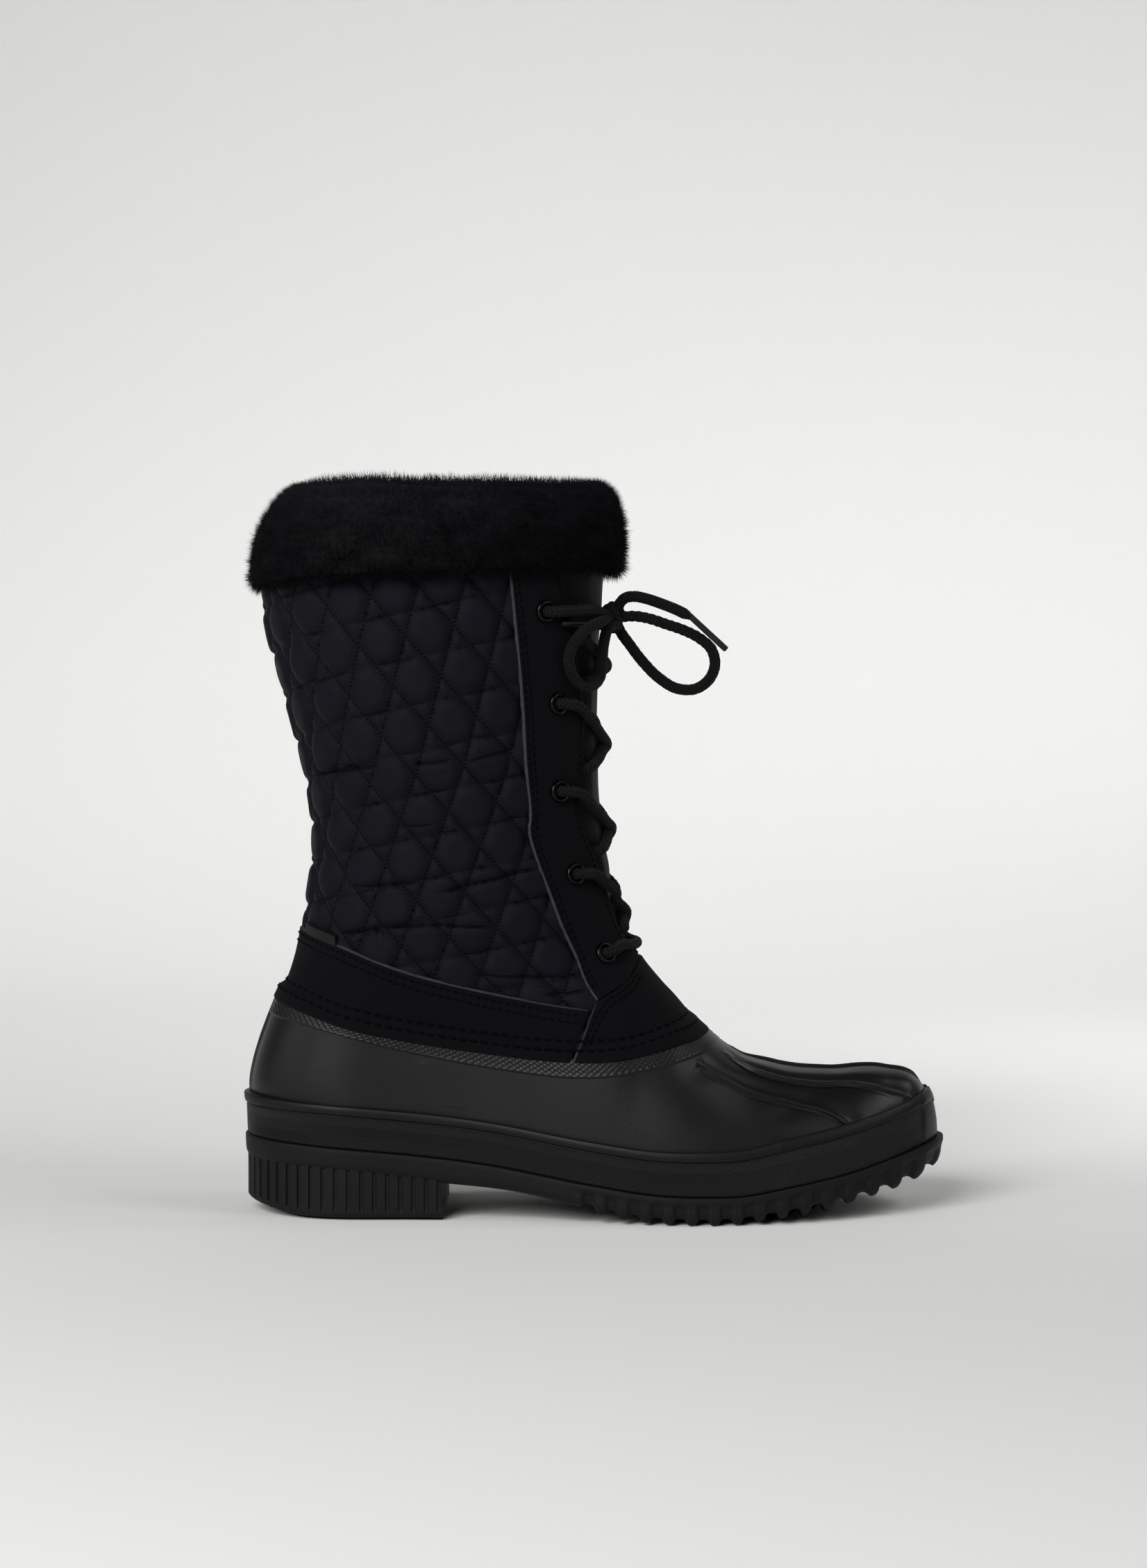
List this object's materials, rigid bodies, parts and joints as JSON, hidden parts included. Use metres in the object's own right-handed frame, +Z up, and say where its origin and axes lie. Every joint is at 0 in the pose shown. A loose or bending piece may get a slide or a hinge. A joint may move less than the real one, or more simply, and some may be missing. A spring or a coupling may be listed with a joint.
{
  "type": "winter boot",
  "caption": "Right lace-up winter boot: rubber shell on a heeled, lugged sole, quilted shaft, leather trim, tied round lace and folded fur cuff.",
  "frame": {"origin": "centre of the heel's face on the floor", "axes": "+X towards the toe, +Z up, -Y towards the outer (lateral) side of the right foot"},
  "size_m": [0.2724, 0.1186, 0.2846],
  "materials": {
    "rubber": "satin moulded",
    "nubuck": "matte buffed",
    "quilted_nylon": "quilted, dull sheen",
    "tongue_cloth": "smooth weave",
    "fur": "deep pile",
    "lace_cord": "braided",
    "aglet_plastic": "smooth",
    "black_metal": "satin black",
    "insole_felt": "felt"
  },
  "bodies": {
    "root": {"outsole": "rubber", "foxing": "rubber", "rubber_shell": "rubber", "insole": "insole_felt", "upper": "quilted_nylon", "counter_band": "nubuck", "vamp": "nubuck", "eyestay_lateral": "nubuck", "eyestay_medial": "nubuck", "tongue": "tongue_cloth", "fur_cuff": "fur", "label_tab": "tongue_cloth", "eyelet_lateral_1": "black_metal", "eyelet_lateral_2": "black_metal", "eyelet_lateral_3": "black_metal", "eyelet_lateral_4": "black_metal", "eyelet_lateral_5": "black_metal", "eyelet_medial_1": "black_metal", "eyelet_medial_2": "black_metal", "eyelet_medial_3": "black_metal", "eyelet_medial_4": "black_metal", "eyelet_medial_5": "black_metal", "lace_cross_1": "lace_cord", "lace_cross_2": "lace_cord", "lace_cross_3": "lace_cord", "lace_cross_4": "lace_cord", "lace_bar": "lace_cord", "lace_lead_lateral": "lace_cord", "lace_lead_medial": "lace_cord", "lace_knot": "lace_cord", "lace_loop_side": "lace_cord", "lace_loop_front": "lace_cord", "lace_end_front": "lace_cord", "lace_end_side": "lace_cord", "aglet_front": "aglet_plastic", "aglet_side": "aglet_plastic"}
  },
  "joints": []
}
